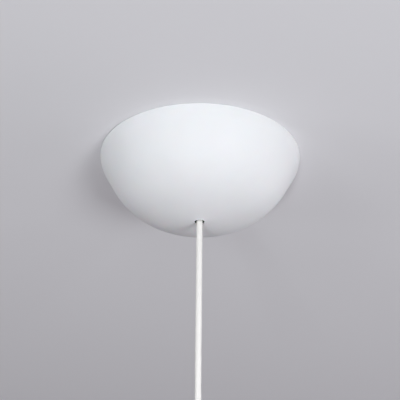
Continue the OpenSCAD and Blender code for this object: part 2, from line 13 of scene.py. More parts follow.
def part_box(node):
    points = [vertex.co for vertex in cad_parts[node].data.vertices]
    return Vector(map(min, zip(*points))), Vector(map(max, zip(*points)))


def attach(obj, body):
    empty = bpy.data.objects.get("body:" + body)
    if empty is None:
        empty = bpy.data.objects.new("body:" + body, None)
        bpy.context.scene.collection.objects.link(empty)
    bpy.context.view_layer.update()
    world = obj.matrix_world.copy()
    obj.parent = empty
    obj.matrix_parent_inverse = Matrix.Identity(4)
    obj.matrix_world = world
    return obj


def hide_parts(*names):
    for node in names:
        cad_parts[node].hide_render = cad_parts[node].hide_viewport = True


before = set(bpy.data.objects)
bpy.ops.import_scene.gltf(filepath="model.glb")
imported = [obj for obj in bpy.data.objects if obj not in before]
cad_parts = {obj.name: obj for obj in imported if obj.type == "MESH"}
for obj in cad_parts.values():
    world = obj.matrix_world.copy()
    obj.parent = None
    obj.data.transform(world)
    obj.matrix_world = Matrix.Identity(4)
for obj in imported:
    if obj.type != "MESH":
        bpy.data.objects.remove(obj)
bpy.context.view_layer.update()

# Camera: below the ceiling in front of the rose, looking up at it
CAMERA_AT = (0.0003, -1.2906, -0.78235)
CAMERA_PITCH = math.radians(29.6)
CAMERA_ROLL = math.radians(0.5)
CAMERA_LENS = 135
CAMERA_SENSOR = 36
CAMERA_CLIP = (0.05, 30)

# Soft lights round the room: name, place, size, power and colour
LIGHT_TARGET = (0, 0, -0.04)
DAYLIGHT = (0.98, 1.0, 1.03)
FLOOR_TINT = (1.06, 0.96, 1.05)
SOFT_LIGHTS = [
    ("front_window", (0.3, -2.4, -0.85), (1.2, 0.7), 7.6, DAYLIGHT),
    ("right_window", (1.5, -1.8, -1.5), (1.0, 0.8), 30.6, DAYLIGHT),
    ("left_window", (-0.6, -2.0, -1.7), (0.32, 0.28), 13.5, DAYLIGHT),
    ("front_left_wall", (-1.6, -2.2, -0.6), (0.6, 0.5), 9.5, DAYLIGHT),
    ("left_wall", (-2.6, -0.8, -0.6), (0.9, 0.8), 12.8, DAYLIGHT),
    ("right_wall", (2.6, -0.6, -0.6), (1.6, 1.0), 9, DAYLIGHT),
    ("right_back_wall", (2.3, 1.4, -0.6), (1.6, 1.0), 8.6, FLOOR_TINT),
    ("back_wall", (-1.8, 2.4, -0.35), (1.2, 0.8), 2.5, FLOOR_TINT),
    ("floor_bounce", (0.2, 0.2, -2.6), (2, 2), 12.3, FLOOR_TINT),
    ("roof_light", (-0.3, -0.5, 1.8), (1.6, 1.6), 14, DAYLIGHT),
]
ROOM_GLOW = (0.078, 0.08, 0.082)
BACKDROP = (0.55, 0.56, 0.58)
CEILING_TINT = (0.745, 0.745, 0.757)
CEILING_HALF_WIDTH = 4
CEILING_GAP = 0.0003

# The cup's section: rim arc, straight flank, shoulder arc and crown arc, each tangent to the next
CUP_R = 0.100
CUP_H = 0.074
CUP_WALL = 0.0026
RIM_ARC_R = 0.0285
FLANK_L = 0.018
FLANK_ANGLE = math.radians(28.5)
CROWN_ANGLE = math.radians(70)
RIM_ROUND_R = 0.0008
RIM_BEAD_H = 0.003
RIM_BEAD_W = 0.0014
RIM_BEAD_ROOT_SHARE = 1.5
HOLE_R = 0.00475
HOLE_BEAD_R = 0.0006
HOLE_BEAD_SUNK = 0.0002
HOLE_EDGE_T = 0.0005
HOLE_BEAD_START = math.radians(25)
FLOOR_T = 0.003
POCKET_R = 0.008
BOSS_R = 0.011
BOSS_TOP = 0.0555
BOSS_FILLET = 0.0009

# Pockets for the snap ring's lugs, and the gussets from the boss to the crown
LUGS = 3
LUG_TOP = 0.0579
LUG_LOW = 0.0601
LUG_REACH = 0.0102
LUG_HALF_ANGLE = math.radians(19)
GUSSETS = 6
GUSSET_T = 0.0016
GUSSET_REACH = 0.034
GUSSET_TOP = 0.0595
GUSSET_EDGE = 0.0003

# The snap ring, and the nose under the rubber bush, whose near-black rubber fills the hole's funnel
# as painted shade
RING_HOLE_R = 0.0042
RING_R = 0.0079
RING_LUG_L = 0.004
RING_LUG_W = 0.005
RING_EDGE = 0.00025
NOSE_BORE = 0.0031
NOSE_R = 0.0071
NOSE_L = 0.0024
NOSE_EDGE = NOSE_L / 5

# Steps of the cup's arcs and of its turn
CUP_TURN_STEPS = 216
RIM_STEPS = 8
SHOULDER_STEPS = 16
CROWN_STEPS = 12
HOLE_BEAD_STEPS = 8
ROUND_STEPS = 4
FILLET_STEPS = 3

# The cord's route, straight down from inside the cord grip to the sheath's cut end
CORD_ROUTE = [
    (0, 0, -0.018), (0, 0, -0.032), (0, 0, -0.048), (0, 0, -0.064), (0, 0, -0.080),
    (0, 0, -0.096), (0, 0, -0.112), (0, 0, -0.128), (0, 0, -0.144), (0, 0, -0.160),
    (0, 0, -0.176), (0, 0, -0.192), (0, 0, -0.208), (0, 0, -0.224), (0, 0, -0.240),
    (0, 0, -0.256), (0, 0, -0.275),
]
CORD_R = 0.003
CORD_SIDES = 32
CORD_STEP = 0.0025
LAY_LENGTH = 0.055
LAY_DEPTH = 0.00003
SLEEVE_TOP = 0.266
SLEEVE_BORE = 0.00303
SLEEVE_R = 0.00365
SLEEVE_DRAW_SHARE = 3

# The insulated cores: live, earth and neutral, as they leave the sheath and reach the terminals
CORE_R = 0.0011
CORE_CIRCLE_R = 0.00132
CORE_ANGLES = [math.radians(150), math.radians(270), math.radians(30)]
CORES = len(CORE_ANGLES)
CORE_SIDES = 20
CORE_LIFT = 0.013
CORE_LEAD = 0.008
CORE_STEPS = 40
LINK_LEAD = 0.0116
TERMINAL_SETBACK = 0.002
LAMP_CORE_L = 0.014
LAMP_LEAD = LAMP_CORE_L / 3
LAMP_SPREAD = 0.0045
STRIPES = 2
STRIPE_TURN = math.radians(7)
FERRULE_R = 0.00075
FERRULE_L = 0.006
FERRULE_EDGE = FERRULE_R / 5
CRIMPS = 3
CRIMP_DEPTH = 0.00006
CRIMP_STEP_SHARE = 0.25
CRIMP_SHARES = [(0.2, 0), (0.24, 1), (0.36, 1), (0.4, 0)]

# Rivets, threads and the earth lug
RIVET_R = 0.0016
RIVET_HEAD_R = 0.0029
RIVET_HEAD_H = 0.0012
RIVET_TAIL_SHARE = 0.9
RIVET_DOME_STEPS = 8
RIVET_TURN_STEPS = 32
THREAD_PITCH = 0.0015
THREAD_DEPTH = 0.00045
THREAD_SINK = THREAD_DEPTH / 10
THREAD_ROOT_SHARE = 0.42
THREAD_CREST_SHARE = 0.06
SHANK_R = 0.006
SHANK_THREAD = (0.0178, 0.0262)
NUT_END_R = 0.0075
NUT_END_THREAD = (0.0312, 0.0392)
LUG_WIRE_D = 0.0067
LUG_WIRE_AT = 0.00925
LUG_WAY = Vector((-1, -1, 0)).normalized()

# Steps, edges and tolerances of the meshes
MERGE = 0.000001
PACKED_MERGE = 0.00003
SAME_RADIUS = 0.000045
TURN_STEPS = 64
MOULDED_EDGE = 0.00025
SHARP_ANGLE = math.radians(35)
FLAT_ANGLE = math.radians(0.5)

# Looks: the part of a noise's range that a ramp uses, spread of the gloss, depth and blur
NOISE_RANGE = (0.3, 0.7)
PATCH_WEIGHT = 0.6
PLASTIC_GLOSS = (-0.04, 0.04)
METAL_GLOSS = (-0.05, 0.06)
METAL_DEPTH = 0.0000015
CORE_ROUGH = 0.34
CORE_GRAIN_DEPTH = 0.000006
STRIPE_BLUR = 0.06


# Camera

def make_camera():
    data = bpy.data.cameras.new("camera")
    data.sensor_width = CAMERA_SENSOR
    data.lens = CAMERA_LENS
    data.clip_start, data.clip_end = CAMERA_CLIP
    ahead = Vector((0, math.cos(CAMERA_PITCH), math.sin(CAMERA_PITCH)))
    above = Vector((0, -math.sin(CAMERA_PITCH), math.cos(CAMERA_PITCH)))
    right = Vector((1, 0, 0))
    c, s = math.cos(CAMERA_ROLL), math.sin(CAMERA_ROLL)
    axes = (c * right + s * above, c * above - s * right, -ahead)
    camera = bpy.data.objects.new("camera", data)
    camera.matrix_world = (
        Matrix.Translation(CAMERA_AT) @ Matrix(axes).transposed().to_4x4()
    )
    bpy.context.scene.collection.objects.link(camera)
    bpy.context.scene.camera = camera


make_camera()


# Shader helpers

def socket_values(node, values):
    for name, value in values.items():
        node.inputs[name].default_value = value


def new_group(name, inputs, outputs):
    """A shader node group with named inputs (name, type, value) and outputs (name, type)."""
    group = bpy.data.node_groups.new(name, "ShaderNodeTree")
    for label, kind, value in inputs:
        made = group.interface.new_socket(label, in_out="INPUT", socket_type=kind)
        if value is not None:
            made.default_value = value
    for label, kind in outputs:
        group.interface.new_socket(label, in_out="OUTPUT", socket_type=kind)
    start = group.nodes.new("NodeGroupInput")
    end = group.nodes.new("NodeGroupOutput")
    return group, start, end


def math_node(tree, operation, first, second):
    node = tree.nodes.new("ShaderNodeMath")
    node.operation = operation
    for socket, value in zip(node.inputs, (first, second)):
        if isinstance(value, bpy.types.NodeSocket):
            tree.links.new(value, socket)
        else:
            socket.default_value = value
    return node.outputs["Value"]


def noise_node(tree, vector, scale, detail, roughness):
    node = tree.nodes.new("ShaderNodeTexNoise")
    tree.links.new(vector, node.inputs["Vector"])
    socket_values(node, {"Detail": detail, "Roughness": roughness})
    if isinstance(scale, bpy.types.NodeSocket):
        tree.links.new(scale, node.inputs["Scale"])
    else:
        node.inputs["Scale"].default_value = scale
    return node.outputs["Fac"]


def make_moulded_grain():
    """Fine spark-eroded grain with a slow unevenness, as a height and as a mask for the gloss."""
    group, start, end = new_group(
        "moulded_grain",
        [("Vector", "NodeSocketVector", None), ("Grain scale", "NodeSocketFloat", 2500.0),
         ("Patch scale", "NodeSocketFloat", 40.0)],
        [("Height", "NodeSocketFloat"), ("Patches", "NodeSocketFloat")],
    )
    vector = start.outputs["Vector"]
    fine = noise_node(
        group, vector, start.outputs["Grain scale"], detail=3.0, roughness=0.6,
    )
    patches = noise_node(
        group, vector, start.outputs["Patch scale"], detail=3.0, roughness=0.5,
    )
    height = math_node(group, "MULTIPLY_ADD", patches, PATCH_WEIGHT)
    group.links.new(fine, height.node.inputs[2])
    group.links.new(height, end.inputs["Height"])
    group.links.new(patches, end.inputs["Patches"])
    return group


def make_drawn_streaks():
    """Long streaks along one direction, as rolled sheet and drawn wire have them."""
    group, start, end = new_group(
        "drawn_streaks",
        [("Vector", "NodeSocketVector", None), ("Stretch", "NodeSocketVector", (60, 2500, 2500)),
         ("Cloud scale", "NodeSocketFloat", 180.0)],
        [("Streaks", "NodeSocketFloat"), ("Clouds", "NodeSocketFloat")],
    )
    stretched = group.nodes.new("ShaderNodeVectorMath")
    stretched.operation = "MULTIPLY"
    group.links.new(start.outputs["Vector"], stretched.inputs[0])
    group.links.new(start.outputs["Stretch"], stretched.inputs[1])
    streaks = noise_node(
        group, stretched.outputs["Vector"], scale=1.0, detail=2.0, roughness=0.5,
    )
    clouds = noise_node(
        group, start.outputs["Vector"], start.outputs["Cloud scale"], detail=3.0, roughness=0.6,
    )
    group.links.new(streaks, end.inputs["Streaks"])
    group.links.new(clouds, end.inputs["Clouds"])
    return group


MOULDED_GRAIN = make_moulded_grain()
DRAWN_STREAKS = make_drawn_streaks()


class Finish:
    """One material and its Principled shader, with Object coordinates ready for its groups."""

    def __init__(self, name, **values):
        self.material = bpy.data.materials.new(name)
        self.material.use_nodes = True
        self.tree = self.material.node_tree
        self.shader = self.tree.nodes["Principled BSDF"]
        socket_values(self.shader, {k.replace("_", " "): v for k, v in values.items()})
        self.place = self.tree.nodes.new("ShaderNodeTexCoord").outputs["Object"]

    def group(self, made, **values):
        """Adds a shared node group with its own values, and returns its outputs."""
        node = self.tree.nodes.new("ShaderNodeGroup")
        node.node_tree = made
        self.tree.links.new(self.place, node.inputs["Vector"])
        socket_values(node, {k.replace("_", " "): v for k, v in values.items()})
        return node.outputs

    def ramp(self, mask, low, high, socket):
        """Turns a mask into values between low and high on the shader's socket."""
        if isinstance(low, (tuple, list)):
            node = self.tree.nodes.new("ShaderNodeMix")
            node.data_type = "RGBA"
            self.tree.links.new(mask, node.inputs["Factor"])
            node.inputs["A"].default_value = (*low, 1)
            node.inputs["B"].default_value = (*high, 1)
            out = node.outputs["Result"]
        else:
            node = self.tree.nodes.new("ShaderNodeMapRange")
            near, far = NOISE_RANGE
            socket_values(node, {"From Min": near, "From Max": far, "To Min": low, "To Max": high})
            self.tree.links.new(mask, node.inputs["Value"])
            out = node.outputs["Result"]
        self.tree.links.new(out, self.shader.inputs[socket])

    def bump(self, height, distance):
        node = self.tree.nodes.new("ShaderNodeBump")
        socket_values(node, {"Strength": 1.0, "Distance": distance})
        self.tree.links.new(height, node.inputs["Height"])
        self.tree.links.new(node.outputs["Normal"], self.shader.inputs["Normal"])


def moulded_finish(name, low, high, rough, grain_scale, depth, patch_scale=40.0, **values):
    """Moulded plastic or rubber: two close tints, uneven gloss and a fine grain."""
    finish = Finish(name, **values)
    grain = finish.group(MOULDED_GRAIN, Grain_scale=grain_scale, Patch_scale=patch_scale)
    finish.ramp(grain["Patches"], low, high, "Base Color")
    finish.ramp(grain["Patches"], *[rough + more for more in PLASTIC_GLOSS], "Roughness")
    finish.bump(grain["Height"], depth)
    return finish.material


def metal_finish(name, low, high, rough, stretch):
    """Bare or plated metal: streaks in the gloss and clouds in the tint."""
    finish = Finish(name, Metallic=1.0)
    marks = finish.group(DRAWN_STREAKS, Stretch=stretch)
    finish.ramp(marks["Clouds"], low, high, "Base Color")
    finish.ramp(marks["Streaks"], *[rough + more for more in METAL_GLOSS], "Roughness")
    finish.bump(marks["Streaks"], METAL_DEPTH)
    return finish.material


def striped_finish(name, first, second):
    """The earth core's two colours, as stripes that wind slowly round it."""
    finish = Finish(name, Roughness=CORE_ROUGH)
    attribute = finish.tree.nodes.new("ShaderNodeAttribute")
    attribute.attribute_name = "stripe"
    edge = finish.tree.nodes.new("ShaderNodeMapRange")
    socket_values(edge, {"From Min": -STRIPE_BLUR, "From Max": STRIPE_BLUR})
    finish.tree.links.new(attribute.outputs["Fac"], edge.inputs["Value"])
    finish.ramp(edge.outputs["Result"], first, second, "Base Color")
    grain = finish.group(MOULDED_GRAIN, Grain_scale=3000.0, Patch_scale=300.0)
    finish.bump(grain["Height"], CORE_GRAIN_DEPTH)
    return finish.material


# Moulded finishes: two tints, and how rough, fine and deep their grain is
MOULDED = {
    "cup_plastic": dict(
        low=(0.796, 0.809, 0.815), high=(0.831, 0.843, 0.848), rough=0.5, grain_scale=1800.0,
        depth=0.000012, Subsurface_Weight=0.08, Subsurface_Scale=0.002, Specular_IOR_Level=0.42,
    ),
    "cord_sheath": dict(
        low=(0.89, 0.871, 0.833), high=(0.922, 0.903, 0.865), rough=0.42, grain_scale=1500.0,
        depth=0.00001, patch_scale=120.0,
    ),
    # Near-black rubber: the grommet's and grip sleeve's own colour, and painted shade in the cord
    # hole, where the bush shows dark in the gap round the cord
    "bush_rubber": dict(
        low=(0.011, 0.011, 0.012), high=(0.022, 0.022, 0.024), rough=0.62, grain_scale=2600.0,
        depth=0.00002,
    ),
    "grip_nylon": dict(
        low=(0.74, 0.735, 0.70), high=(0.80, 0.795, 0.76), rough=0.46, grain_scale=2200.0,
        depth=0.000012, Subsurface_Weight=0.15, Subsurface_Scale=0.0015,
    ),
    "housing_plastic": dict(
        low=(0.72, 0.715, 0.67), high=(0.77, 0.765, 0.72), rough=0.38, grain_scale=2400.0,
        depth=0.000008,
    ),
    "core_brown": dict(
        low=(0.15, 0.058, 0.022), high=(0.19, 0.075, 0.03), rough=CORE_ROUGH,
        grain_scale=2600.0, depth=CORE_GRAIN_DEPTH,
    ),
    "core_blue": dict(
        low=(0.02, 0.11, 0.42), high=(0.03, 0.14, 0.5), rough=CORE_ROUGH, grain_scale=2600.0,
        depth=CORE_GRAIN_DEPTH,
    ),
}

# Metal finishes: two tints, how rough they are, and how their streaks are drawn out
METALS = {
    "zinc_steel": dict(
        low=(0.63, 0.65, 0.68), high=(0.75, 0.76, 0.78), rough=0.42, stretch=(50, 1800, 1800),
    ),
    "terminal_brass": dict(
        low=(0.70, 0.50, 0.20), high=(0.83, 0.64, 0.30), rough=0.3, stretch=(2200, 70, 2200),
    ),
    "tinned_copper": dict(
        low=(0.62, 0.61, 0.60), high=(0.74, 0.73, 0.72), rough=0.3, stretch=(2000, 2000, 60),
    ),
}
FINISHES = {name: moulded_finish(name, **values) for name, values in MOULDED.items()}
FINISHES |= {name: metal_finish(name, **values) for name, values in METALS.items()}
FINISHES["core_earth"] = striped_finish("core_earth", (0.05, 0.30, 0.06), (0.80, 0.66, 0.03))


# Mesh helpers

def piece_from(bm, name, finish, body, replaced):
    """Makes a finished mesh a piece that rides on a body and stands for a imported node."""
    bmesh.ops.remove_doubles(bm, verts=bm.verts, dist=MERGE)
    bmesh.ops.recalc_face_normals(bm, faces=bm.faces)
    mesh = bpy.data.meshes.new(name)
    bm.to_mesh(mesh)
    bm.free()
    for polygon in mesh.polygons:
        polygon.use_smooth = True
    mesh.set_sharp_from_angle(angle=SHARP_ANGLE)
    mesh.materials.append(FINISHES[finish])
    piece = bpy.data.objects.new(name, mesh)
    bpy.context.scene.collection.objects.link(piece)
    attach(piece, body)
    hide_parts(replaced)
    return piece


def even_shading(piece):
    """Keeps flat faces flat beside their broken edges."""
    modifier = piece.modifiers.new("even_shading", "WEIGHTED_NORMAL")
    modifier.keep_sharp = True


def edges_of(verts):
    return list({e for v in verts for e in v.link_edges})


def arc(centre, radius, start, end, steps):
    """Points of an arc in a section, as (radius, depth)."""
    angles = [start + (end - start) * i / steps for i in range(steps + 1)]
    return [(centre[0] + radius * math.cos(a), centre[1] + radius * math.sin(a)) for a in angles]


def turned(bm, section, steps=TURN_STEPS, place=Matrix()):
    """Turns a section of (radius, depth) points once round its axis, then puts it in its place.

    A section whose first point is off the axis is a closed ring.
    """
    before = set(bm.verts)
    corners = [bm.verts.new((r, 0, -d)) for r, d in section]
    around = corners[1:] + (corners[:1] if section[0][0] else [])
    sides = [bm.edges.new(pair) for pair in zip(corners, around)]
    bmesh.ops.spin(
        bm, geom=corners + sides, cent=(0, 0, 0), axis=(0, 0, 1), dvec=(0, 0, 0),
        angle=2 * math.pi, steps=steps, use_merge=True,
    )
    made = [v for v in bm.verts if v not in before]
    bmesh.ops.transform(bm, matrix=place, verts=made)


def bezier(a, b, c, d):
    """Points along a smooth curve, and its direction at each."""
    points, ways = [], []
    for i in range(CORE_STEPS + 1):
        t = i / CORE_STEPS
        s = 1 - t
        points.append(s ** 3 * a + 3 * s * s * t * b + 3 * s * t * t * c + t ** 3 * d)
        ways.append((s * s * (b - a) + 2 * s * t * (c - b) + t * t * (d - c)).normalized())
    return points, ways


def swept(bm, curve, aside):
    """A round core along a curve, with the masks of its stripes on its points."""
    stripe = bm.verts.layers.float.new("stripe")
    rings = []
    for i, (point, way) in enumerate(zip(*curve)):
        across = way.cross(aside).normalized()
        turn = Matrix((across, way.cross(across), way)).transposed().to_4x4()
        made = bmesh.ops.create_circle(
            bm, segments=CORE_SIDES, radius=CORE_R, matrix=Matrix.Translation(point) @ turn,
        )["verts"]
        for k, v in enumerate(made):
            v[stripe] = math.cos(STRIPES * 2 * math.pi * k / CORE_SIDES + STRIPE_TURN * i)
        rings.append(edges_of(made))
    for ring in (rings[0], rings[-1]):
        bmesh.ops.edgeloop_fill(bm, edges=ring)
    for upper, lower in zip(rings, rings[1:]):
        bmesh.ops.bridge_loops(bm, edges=upper + lower)


def packed_copy(node):
    """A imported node's mesh with its triangles joined into whole faces."""
    bm = bmesh.new()
    bm.from_mesh(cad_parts[node].data)
    bmesh.ops.remove_doubles(bm, verts=bm.verts, dist=PACKED_MERGE)
    bmesh.ops.dissolve_limit(
        bm, angle_limit=FLAT_ANGLE, verts=bm.verts, edges=bm.edges,
        use_dissolve_boundaries=False,
    )
    return bm


def break_edges(bm, width):
    """Rounds every edge that is sharper than a smooth surface's facets."""
    corners = [e for e in bm.edges if e.is_manifold and e.calc_face_angle() > SHARP_ANGLE]
    bmesh.ops.bevel(
        bm, geom=corners, offset=width, offset_type="OFFSET", affect="EDGES", segments=2,
        profile=0.5, material=-1, clamp_overlap=True,
    )


def add_thread(bm, crest_r, top, low):
    """One helical ridge round a shank."""
    root_r = crest_r - THREAD_DEPTH - THREAD_SINK
    half, flat = THREAD_PITCH * THREAD_ROOT_SHARE, THREAD_PITCH * THREAD_CREST_SHARE
    section = [(root_r, half), (crest_r, flat), (crest_r, -flat), (root_r, -half)]
    corners = [bm.verts.new((r, 0, up - top)) for r, up in section]
    sides = [bm.edges.new(pair) for pair in zip(corners, corners[1:] + corners[:1])]
    turns = (low - top) / THREAD_PITCH
    steps = round(turns * TURN_STEPS)
    last = bmesh.ops.spin(
        bm, geom=corners + sides, cent=(0, 0, 0), axis=(0, 0, 1),
        dvec=(0, 0, (top - low) / steps), angle=2 * math.pi * turns, steps=steps, use_merge=False,
    )["geom_last"]
    ends = [sides, [e for e in last if isinstance(e, bmesh.types.BMEdge)]]
    for end in ends:
        bmesh.ops.edgeloop_fill(bm, edges=end)


# Cup

def cup_centres():
    """Centres and radii of the rim, shoulder and crown arcs, which close on the cup's size."""
    chain_r = CUP_R - RIM_ARC_R * (1 - math.cos(FLANK_ANGLE)) - FLANK_L * math.sin(FLANK_ANGLE)
    chain_h = CUP_H - RIM_ARC_R * math.sin(FLANK_ANGLE) - FLANK_L * math.cos(FLANK_ANGLE)
    turn_r = math.cos(FLANK_ANGLE) - math.cos(CROWN_ANGLE)
    turn_h = math.sin(CROWN_ANGLE) - math.sin(FLANK_ANGLE)
    rest = 1 - math.sin(CROWN_ANGLE)
    whole = turn_r * rest - math.cos(CROWN_ANGLE) * turn_h
    shoulder_r = (chain_r * rest - chain_h * math.cos(CROWN_ANGLE)) / whole
    crown_r = (chain_h * turn_r - chain_r * turn_h) / whole
    shoulder = (
        chain_r - shoulder_r * math.cos(FLANK_ANGLE),
        CUP_H - chain_h - shoulder_r * math.sin(FLANK_ANGLE),
    )
    return (CUP_R - RIM_ARC_R, 0), shoulder, shoulder_r, (0, CUP_H - crown_r), crown_r


def crown_depth(radius, inset):
    """Depth of the crown at a radius, on the face that lies inset from the outer one."""
    _, _, _, centre, crown_r = cup_centres()
    return centre[1] + math.sqrt((crown_r - inset) ** 2 - radius ** 2)


def cup_skin(inset, first, last_radius):
    """One face of the cup's wall, from an angle on the rim arc to a radius on the crown."""
    rim, shoulder, shoulder_r, crown, crown_r = cup_centres()
    end = math.acos(last_radius / (crown_r - inset))
    return (
        arc(rim, RIM_ARC_R - inset, first, FLANK_ANGLE, RIM_STEPS)
        + arc(shoulder, shoulder_r - inset, FLANK_ANGLE, CROWN_ANGLE, SHOULDER_STEPS)
        + arc(crown, crown_r - inset, CROWN_ANGLE, end, CROWN_STEPS)[1:]
    )


def cup_section():
    """The cup's closed section: outer face, cord hole with its funnel, boss, inner face and rim."""
    bead = (HOLE_R + HOLE_BEAD_R, crown_depth(HOLE_R, HOLE_BEAD_SUNK))
    bead_edge = bead[0] + HOLE_BEAD_R * math.cos(HOLE_BEAD_START)
    floor = CUP_H - FLOOR_T
    thin = CUP_H - HOLE_EDGE_T
    root = crown_depth(BOSS_R, CUP_WALL) - BOSS_FILLET
    wall = CUP_R - CUP_WALL
    outside = cup_skin(0, math.asin(RIM_ROUND_R / RIM_ARC_R), bead_edge)[:-1]
    bead_root = math.asin(RIM_BEAD_H / RIM_ARC_R) * RIM_BEAD_ROOT_SHARE
    inside = cup_skin(CUP_WALL, bead_root, BOSS_R + BOSS_FILLET)
    pocket = [(POCKET_R, depth) for depth in (floor, LUG_LOW, LUG_TOP, BOSS_TOP)]
    return (
        arc((CUP_R - RIM_ROUND_R, RIM_ROUND_R), RIM_ROUND_R, -math.pi / 2, 0, ROUND_STEPS)[:-1]
        + outside
        + arc(bead, HOLE_BEAD_R, HOLE_BEAD_START, math.pi, HOLE_BEAD_STEPS)
        + [(HOLE_R, thin), (HOLE_R + thin - floor, floor)] + pocket + [(BOSS_R, BOSS_TOP)]
        + arc((BOSS_R + BOSS_FILLET, root), BOSS_FILLET, math.pi, math.pi / 2, FILLET_STEPS)
        + inside[::-1][1:]
        + [(wall, RIM_BEAD_H + RIM_BEAD_W), (wall - RIM_BEAD_W, RIM_BEAD_H), (wall - RIM_BEAD_W, 0)]
    )


def lug_angle(i):
    return math.pi / 2 + 2 * math.pi * i / LUGS


def sink_lug_pockets(bm):
    """Sinks the pockets that the snap ring's lugs click into in the boss."""
    for i in range(LUGS):
        way = Matrix.Rotation(lug_angle(i), 3, "Z") @ Vector((1, 0, 0))
        wall = []
        for face in bm.faces:
            middle = face.calc_center_median()
            side = Vector((middle.x, middle.y, 0))
            if (
                abs(side.length - POCKET_R) < SAME_RADIUS
                and LUG_TOP < -middle.z < LUG_LOW
                and side.angle(way) < LUG_HALF_ANGLE
            ):
                wall.append(face)
        grown = bmesh.ops.extrude_face_region(bm, geom=wall)["geom"]
        moved = [v for v in grown if isinstance(v, bmesh.types.BMVert)]
        scale = LUG_REACH / POCKET_R
        bmesh.ops.scale(bm, verts=moved, vec=(scale, scale, 1))
        left = [f for f in wall if f.is_valid]
        bmesh.ops.delete(bm, geom=left, context="FACES")


def add_gusset(bm, angle):
    """One web between the boss and the crown, its edges broken."""
    way = Vector((math.cos(angle), math.sin(angle), 0))
    side = Vector((-way.y, way.x, 0)) * GUSSET_T
    inner = (POCKET_R + BOSS_R) / 2
    outline = [(inner, GUSSET_TOP)]
    outline += [(r, crown_depth(r, CUP_WALL / 2)) for r in (GUSSET_REACH, inner)]
    corners = [bm.verts.new(r * way - side / 2 - Vector((0, 0, d))) for r, d in outline]
    grown = bmesh.ops.extrude_face_region(bm, geom=[bm.faces.new(corners)])["geom"]
    moved = [v for v in grown if isinstance(v, bmesh.types.BMVert)]
    bmesh.ops.translate(bm, verts=moved, vec=side)
    bmesh.ops.bevel(
        bm, geom=edges_of(corners + moved), offset=GUSSET_EDGE, offset_type="OFFSET",
        affect="EDGES", segments=2, profile=0.5, material=-1,
    )


def make_cup_shell():
    bm = bmesh.new()
    turned(bm, cup_section(), CUP_TURN_STEPS)
    sink_lug_pockets(bm)
    for i in range(GUSSETS):
        add_gusset(bm, 2 * math.pi * i / GUSSETS)
    piece_from(bm, "cup_shell", "cup_plastic", "ceiling_cup", "cup")


# Cord and its prepared lower end

CORD_END = Vector(CORD_ROUTE[-1])


def core_way(i):
    return Vector((math.cos(CORE_ANGLES[i]), math.sin(CORE_ANGLES[i]), 0))


def lamp_tip(i):
    return CORD_END + LAMP_SPREAD * core_way(i) - Vector((0, 0, LAMP_CORE_L))


def make_lamp_core(i, name, finish, node):
    start = CORD_END + CORE_CIRCLE_R * core_way(i)
    drop = Vector((0, 0, LAMP_LEAD))
    bm = bmesh.new()
    swept(bm, bezier(start, start - drop, lamp_tip(i) + drop, lamp_tip(i)), Vector((1, 0, 0)))
    return piece_from(bm, name, finish, "ceiling_mount", node)


def ferrule_section():
    """A crimped tube, necked in where the tool pressed it."""
    section = [(0, 0), (FERRULE_R, 0)]
    for i in range(CRIMPS):
        for along, pressed in CRIMP_SHARES:
            height = FERRULE_L * (along + CRIMP_STEP_SHARE * i)
            section.append((FERRULE_R - CRIMP_DEPTH * pressed, height))
    return section + [
        (FERRULE_R, FERRULE_L - FERRULE_EDGE), (FERRULE_R - FERRULE_EDGE, FERRULE_L),
        (0, FERRULE_L),
    ]


def make_ferrules(name, places, node):
    bm = bmesh.new()
    for place in places:
        turned(bm, ferrule_section(), CORE_SIDES, place)
    return piece_from(bm, name, "tinned_copper", "ceiling_mount", node)


def make_end_sleeve():
    """The sleeve that closes the sheath's cut end, drawn in a little at its upper edge."""
    low = -CORD_END.z
    edge = SLEEVE_R - SLEEVE_BORE
    bm = bmesh.new()
    turned(
        bm,
        [(SLEEVE_BORE, low), (SLEEVE_R - edge / 2, low)]
        + arc((SLEEVE_R - edge / 2, low - edge / 2), edge / 2, math.pi / 2, 0, ROUND_STEPS)
        + [(SLEEVE_R, SLEEVE_TOP + SLEEVE_DRAW_SHARE * edge)]
        + arc((SLEEVE_R - edge, SLEEVE_TOP + edge / 2), edge / 2, 0, -math.pi / 2, ROUND_STEPS)
        + [(SLEEVE_BORE, SLEEVE_TOP)],
    )
    return piece_from(bm, "end_sleeve", "grip_nylon", "ceiling_mount", "cord_end_sleeve")


def make_cord_sheath():
    """The sheath, with the faint bulges of the three cores that are laid up inside it."""
    top, bottom = CORD_ROUTE[0][2], CORD_ROUTE[-1][2]
    rings = round((top - bottom) / CORD_STEP)
    bm = bmesh.new()
    bmesh.ops.create_circle(
        bm, cap_ends=True, segments=CORD_SIDES, radius=CORD_R,
        matrix=Matrix.Translation((0, 0, top)),
    )
    ring = list(bm.edges)
    for _ in range(rings):
        grown = bmesh.ops.extrude_edge_only(bm, edges=ring)["geom"]
        ring = [e for e in grown if isinstance(e, bmesh.types.BMEdge)]
        moved = [v for v in grown if isinstance(v, bmesh.types.BMVert)]
        bmesh.ops.translate(bm, verts=moved, vec=(0, 0, (bottom - top) / rings))
    bmesh.ops.edgeloop_fill(bm, edges=ring)
    for v in bm.verts:
        turn = math.atan2(v.co.y, v.co.x) - 2 * math.pi * v.co.z / LAY_LENGTH
        scale = 1 + LAY_DEPTH / CORD_R * (math.cos(CORES * turn) - 1)
        v.co.x *= scale
        v.co.y *= scale
    piece = piece_from(bm, "cord_sheath", "cord_sheath", "ceiling_mount", "cord")


lamp_pieces = [
    make_end_sleeve(),
    make_lamp_core(0, "lamp_lead_brown", "core_brown", "lamp_end_brown"),
    make_lamp_core(1, "lamp_lead_earth", "core_earth", "lamp_end_earth"),
    make_lamp_core(2, "lamp_lead_blue", "core_blue", "lamp_end_blue"),
    make_ferrules(
        "lamp_ferrules", [Matrix.Translation(lamp_tip(i)) for i in range(CORES)],
        "lamp_end_ferrules",
    ),
]
make_cord_sheath()
make_cup_shell()


# Cores inside the cup

def middle(node):
    """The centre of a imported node's box."""
    low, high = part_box(node)
    return (low + high) / 2


